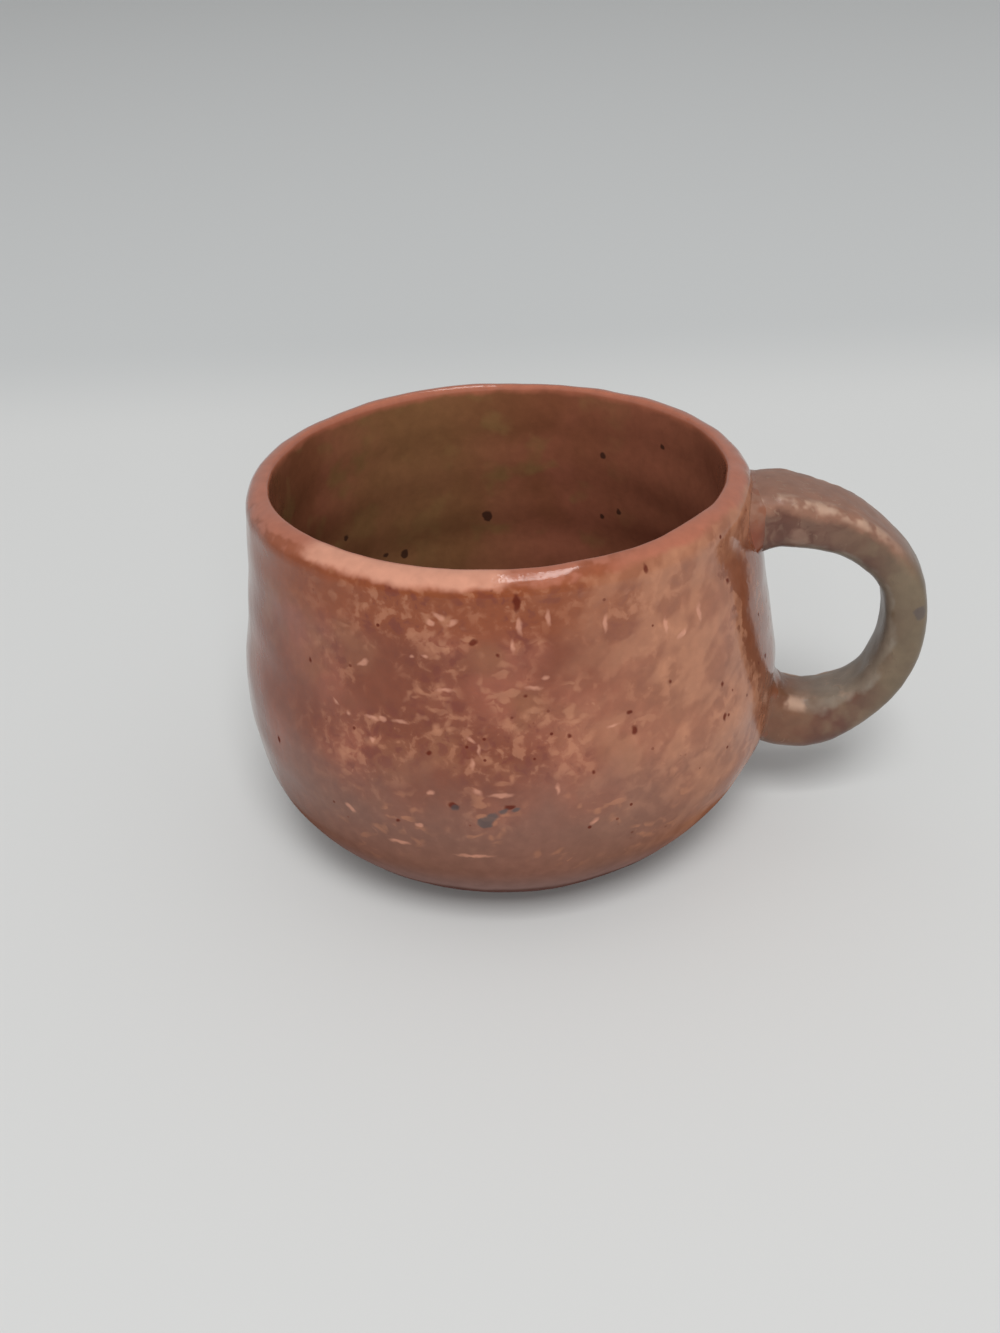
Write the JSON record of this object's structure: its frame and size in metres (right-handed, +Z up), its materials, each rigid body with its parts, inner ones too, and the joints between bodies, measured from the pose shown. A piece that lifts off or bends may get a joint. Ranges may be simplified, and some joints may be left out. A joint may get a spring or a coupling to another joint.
{
  "type": "pottery mug",
  "caption": "Wheel-thrown glazed stoneware mug with a soft waist, a rounded belly, a flat foot and a pulled strap handle luted on at two roots.",
  "frame": {"origin": "centre of the flat foot, on the cup's turning axis, on the surface that the mug stands on", "axes": "+Z up along the cup's turning axis, +X out along the handle, +Y to the handle's left as seen from the cup"},
  "size_m": [0.1259, 0.0976, 0.071],
  "materials": {
    "rust_glaze": "glossy rust-pink glaze with pale flecks and dark iron specks",
    "olive_glaze": "glossy olive-brown glaze",
    "pooled_glaze": "glossy orange-rust glaze, pooled round the joints"
  },
  "bodies": {
    "root": {"cup_body": "rust_glaze", "handle": "olive_glaze", "upper_joint_collar": "pooled_glaze", "lower_joint_collar": "pooled_glaze"}
  },
  "joints": []
}
